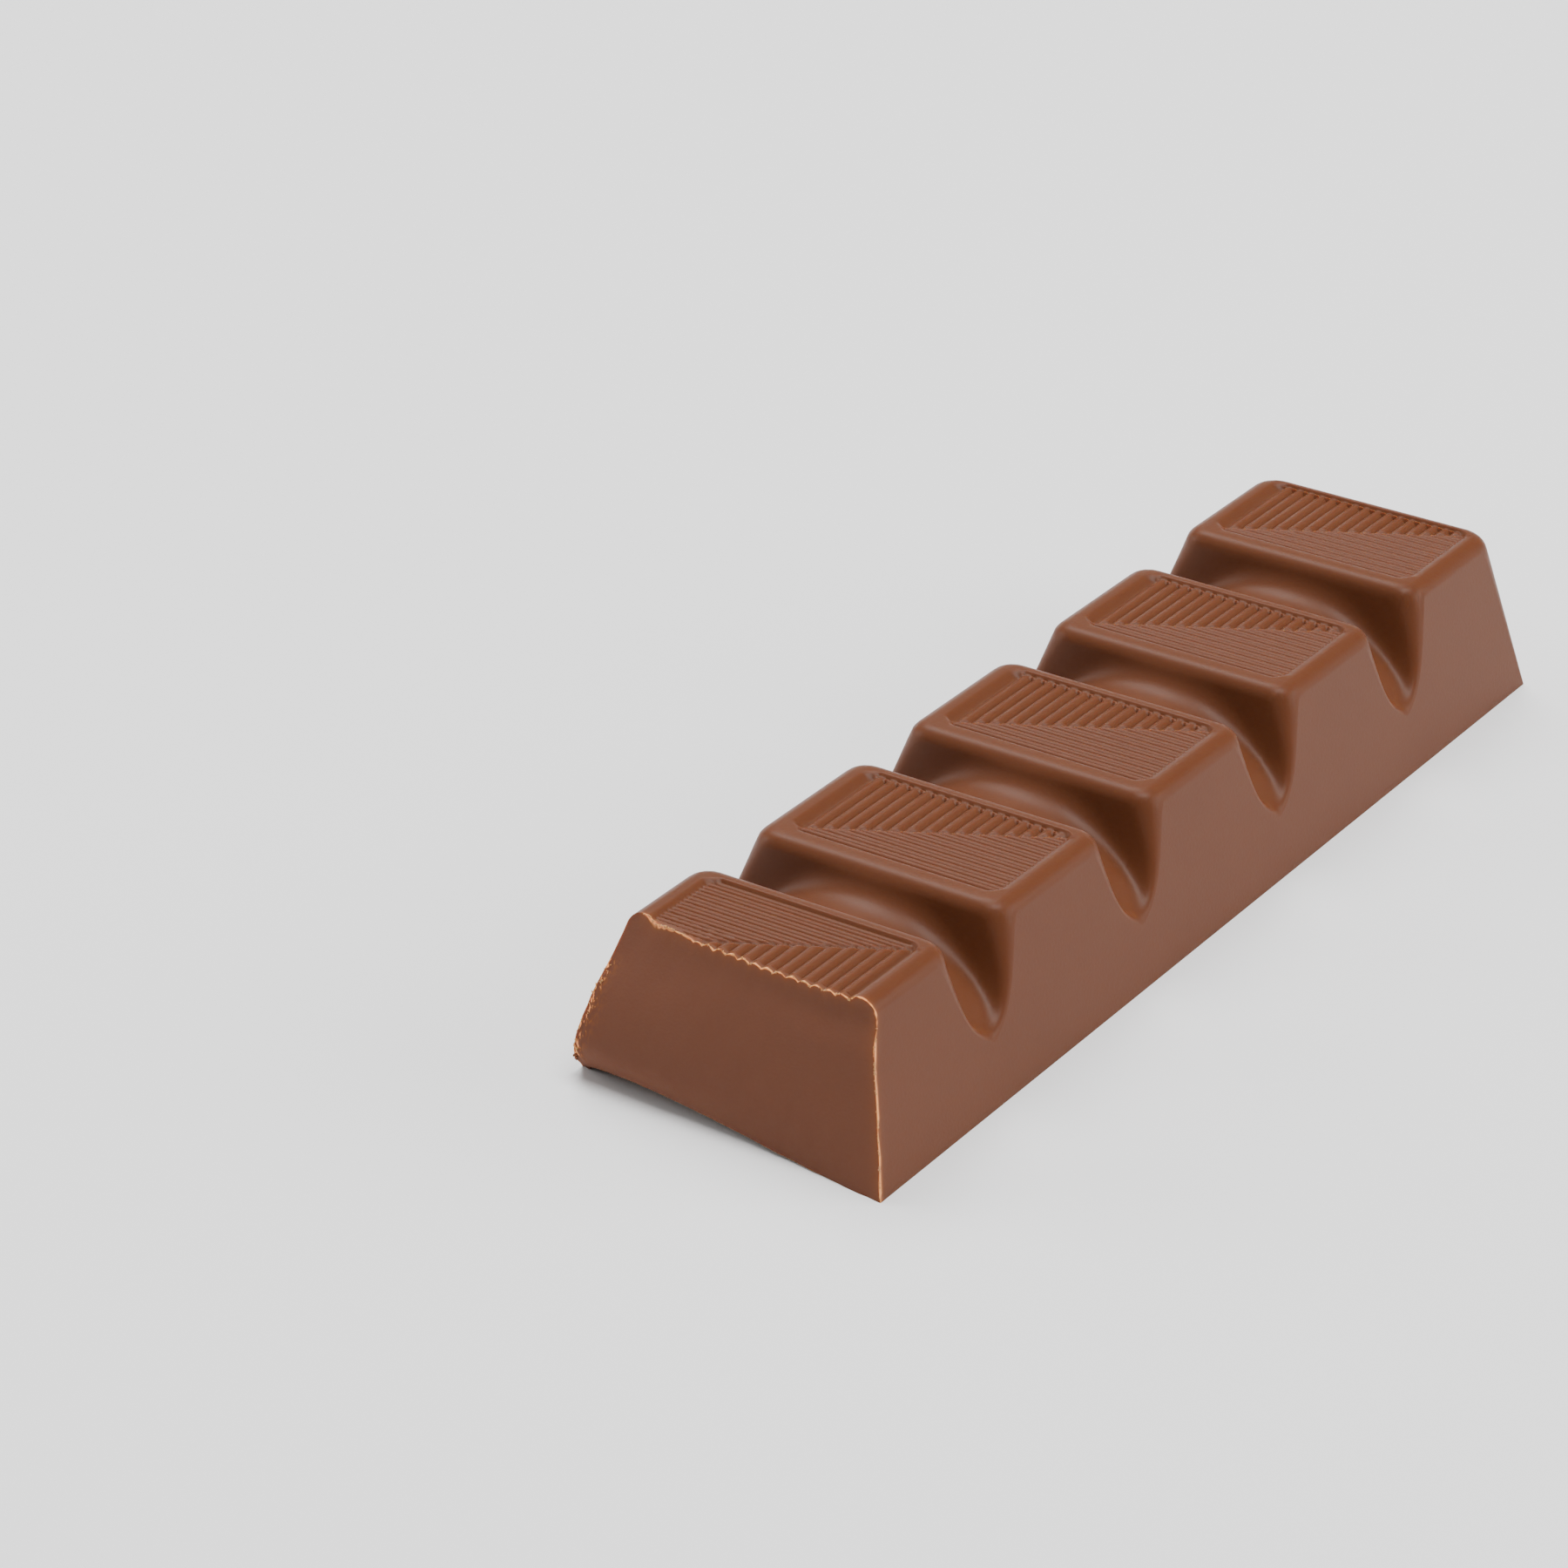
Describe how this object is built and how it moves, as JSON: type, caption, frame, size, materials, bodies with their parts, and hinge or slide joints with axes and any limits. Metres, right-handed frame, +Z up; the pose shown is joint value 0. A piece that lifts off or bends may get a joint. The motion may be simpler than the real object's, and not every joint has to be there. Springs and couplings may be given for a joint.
{
  "type": "snapped milk chocolate bar",
  "caption": "Moulded milk chocolate bar of joined blocks with ridged sunk panels, deep rounded grooves between them, and one end snapped through its block.",
  "frame": {"origin": "middle of the footprint, at the level of the flat rim of the underside that the bar rests on", "axes": "+X along the bar from its snapped end to its whole end, +Y across the bar, +Z up"},
  "size_m": [0.0943, 0.0266, 0.0128],
  "materials": {
    "milk_chocolate": "moulded milk chocolate, satin on the moulded faces and dull on the snapped face"
  },
  "bodies": {
    "root": {"bar": "milk_chocolate"}
  },
  "joints": []
}
